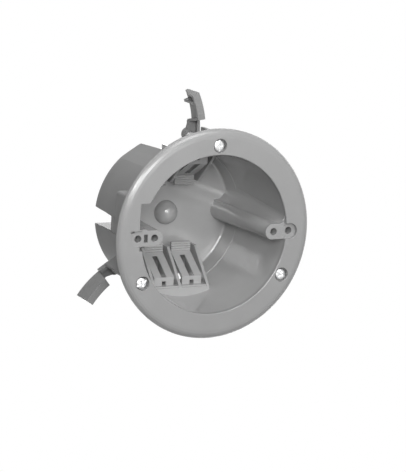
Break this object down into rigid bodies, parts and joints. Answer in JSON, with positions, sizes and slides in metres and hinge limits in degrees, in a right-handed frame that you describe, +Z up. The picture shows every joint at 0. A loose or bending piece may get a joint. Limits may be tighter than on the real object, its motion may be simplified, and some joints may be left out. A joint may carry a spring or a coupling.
{
  "type": "round old-work ceiling box",
  "caption": "Round moulded ceiling box with a plaster flange, fixture bosses, inner cable clamps and swing-out clamp wings on screws.",
  "frame": {"origin": "centre of the flange's seating face, on the axis of the box", "axes": "+Z up into the ceiling void, away from the mouth; the mouth faces -Z; +X through the fixture boss that has no wire window beside it"},
  "size_m": [0.1264, 0.1277, 0.063],
  "materials": {
    "grey_plastic": "moulded, slight sheen",
    "dark_plastic": "moulded, slight sheen",
    "zinc": "zinc plated"
  },
  "bodies": {
    "box": {"box_body": "grey_plastic"},
    "screw_1": {"clamp_screw_1": "zinc"},
    "wing_1": {"clamp_wing_1": "dark_plastic"},
    "screw_2": {"clamp_screw_2": "zinc"},
    "wing_2": {"clamp_wing_2": "dark_plastic"},
    "screw_3": {"clamp_screw_3": "zinc"},
    "wing_3": {"clamp_wing_3": "dark_plastic"}
  },
  "joints": [
    {"name": "clamp_swing_1", "type": "hinge", "parent": "box", "child": "screw_1", "pos_m": [0, -0.0472, 0], "axis": [0, 0, 1], "range_deg": [-93, 0]},
    {"name": "clamp_travel_1", "type": "slide", "parent": "screw_1", "child": "wing_1", "axis": [0, 0, 1], "range_m": [-0.015, 0]},
    {"name": "clamp_swing_2", "type": "hinge", "parent": "box", "child": "screw_2", "pos_m": [-0.04088, 0.0236, 0], "axis": [0, 0, 1], "range_deg": [-93, 0]},
    {"name": "clamp_travel_2", "type": "slide", "parent": "screw_2", "child": "wing_2", "axis": [0, 0, 1], "range_m": [-0.015, 0]},
    {"name": "clamp_swing_3", "type": "hinge", "parent": "box", "child": "screw_3", "pos_m": [0.04088, 0.0236, 0], "axis": [0, 0, 1], "range_deg": [-60, 33]},
    {"name": "clamp_travel_3", "type": "slide", "parent": "screw_3", "child": "wing_3", "axis": [0, 0, 1], "range_m": [-0.015, 0]}
  ]
}
